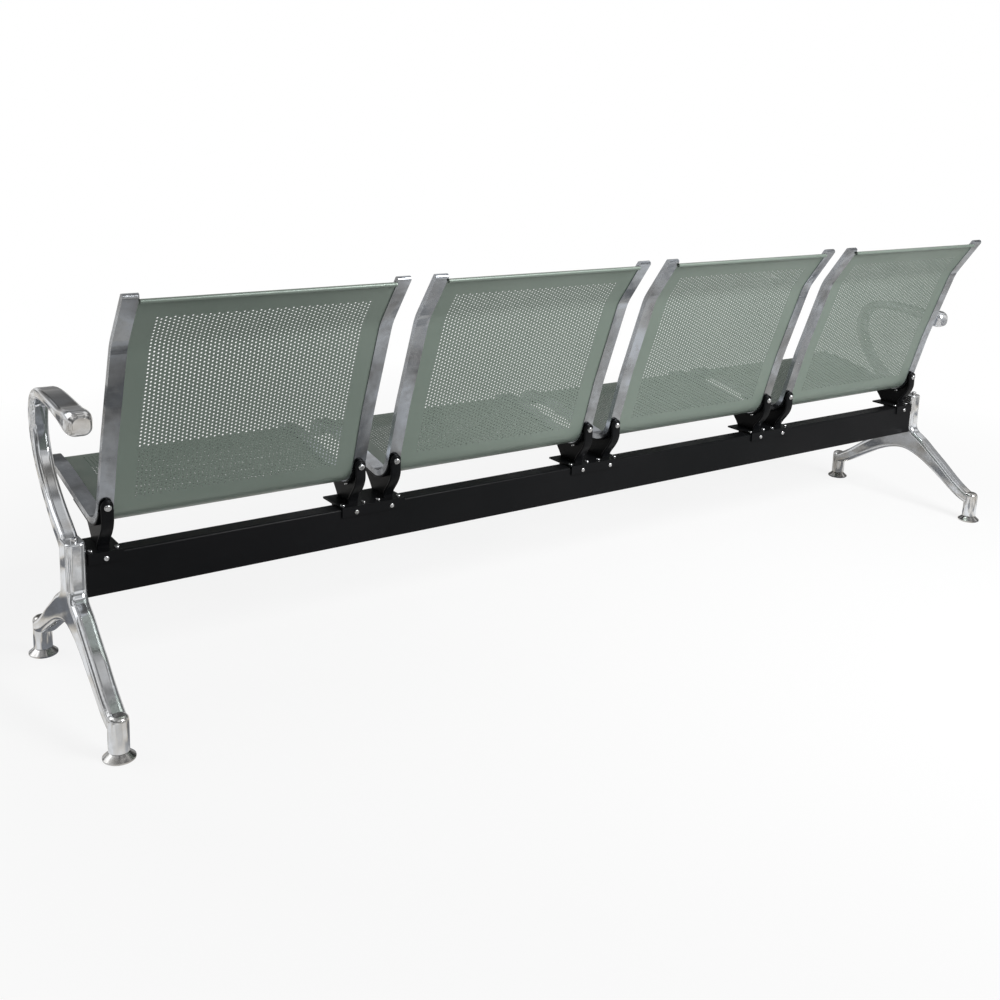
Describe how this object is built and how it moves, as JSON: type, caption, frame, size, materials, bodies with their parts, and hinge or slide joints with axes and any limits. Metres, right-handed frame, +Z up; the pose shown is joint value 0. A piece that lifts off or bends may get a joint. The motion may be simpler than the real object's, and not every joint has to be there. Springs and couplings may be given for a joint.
{
  "type": "beam seating",
  "caption": "Waiting-area beam seating: perforated steel seats with rolled edges and chromed side strips on a black box beam, cast chromed legs with armrests and levelling feet.",
  "frame": {"origin": "on the floor, in the middle of the bench's footprint", "axes": "+Z up, X along the beam with the sitter's left at +X, sitters face -Y"},
  "size_m": [2.44, 0.596, 0.787],
  "materials": {
    "seat_steel": "grey-green silver powder coat, semi-gloss",
    "chromed_strip": "bright chrome plate",
    "chromed_casting": "polished and plated casting",
    "chromed_foot": "bright chrome plate",
    "black_steel": "black powder coat, semi-gloss",
    "bright_screw": "bright zinc plate"
  },
  "bodies": {
    "bench": {"beam": "black_steel", "bracket_base_1": "black_steel", "base_screws_1": "bright_screw", "bracket_base_2": "black_steel", "base_screws_2": "bright_screw", "bracket_base_3": "black_steel", "base_screws_3": "bright_screw", "bracket_base_4": "black_steel", "base_screws_4": "bright_screw", "bracket_base_5": "black_steel", "base_screws_5": "bright_screw", "seat_sheet_1": "seat_steel", "side_strip_1_left": "chromed_strip", "bracket_1_left": "black_steel", "side_strip_1_right": "chromed_strip", "bracket_1_right": "black_steel", "seat_bolts_1": "bright_screw", "seat_sheet_2": "seat_steel", "side_strip_2_left": "chromed_strip", "bracket_2_left": "black_steel", "side_strip_2_right": "chromed_strip", "bracket_2_right": "black_steel", "seat_bolts_2": "bright_screw", "seat_sheet_3": "seat_steel", "side_strip_3_left": "chromed_strip", "bracket_3_left": "black_steel", "side_strip_3_right": "chromed_strip", "bracket_3_right": "black_steel", "seat_bolts_3": "bright_screw", "seat_sheet_4": "seat_steel", "side_strip_4_left": "chromed_strip", "bracket_4_left": "black_steel", "side_strip_4_right": "chromed_strip", "bracket_4_right": "black_steel", "seat_bolts_4": "bright_screw", "leg_left": "chromed_casting", "armrest_left": "chromed_casting", "armrest_bolt_left": "bright_screw", "leg_bolts_left": "bright_screw", "leg_right": "chromed_casting", "armrest_right": "chromed_casting", "armrest_bolt_right": "bright_screw", "leg_bolts_right": "bright_screw"},
    "foot_left_front": {"foot_pad_left_front": "chromed_foot", "foot_stud_left_front": "bright_screw"},
    "foot_left_rear": {"foot_pad_left_rear": "chromed_foot", "foot_stud_left_rear": "bright_screw"},
    "foot_right_front": {"foot_pad_right_front": "chromed_foot", "foot_stud_right_front": "bright_screw"},
    "foot_right_rear": {"foot_pad_right_rear": "chromed_foot", "foot_stud_right_rear": "bright_screw"}
  },
  "joints": [
    {"name": "level_left_front", "type": "slide", "parent": "bench", "child": "foot_left_front", "axis": [0, 0, -1], "range_m": [0, 0.02]},
    {"name": "level_left_rear", "type": "slide", "parent": "bench", "child": "foot_left_rear", "axis": [0, 0, -1], "range_m": [0, 0.02]},
    {"name": "level_right_front", "type": "slide", "parent": "bench", "child": "foot_right_front", "axis": [0, 0, -1], "range_m": [0, 0.02]},
    {"name": "level_right_rear", "type": "slide", "parent": "bench", "child": "foot_right_rear", "axis": [0, 0, -1], "range_m": [0, 0.02]}
  ]
}
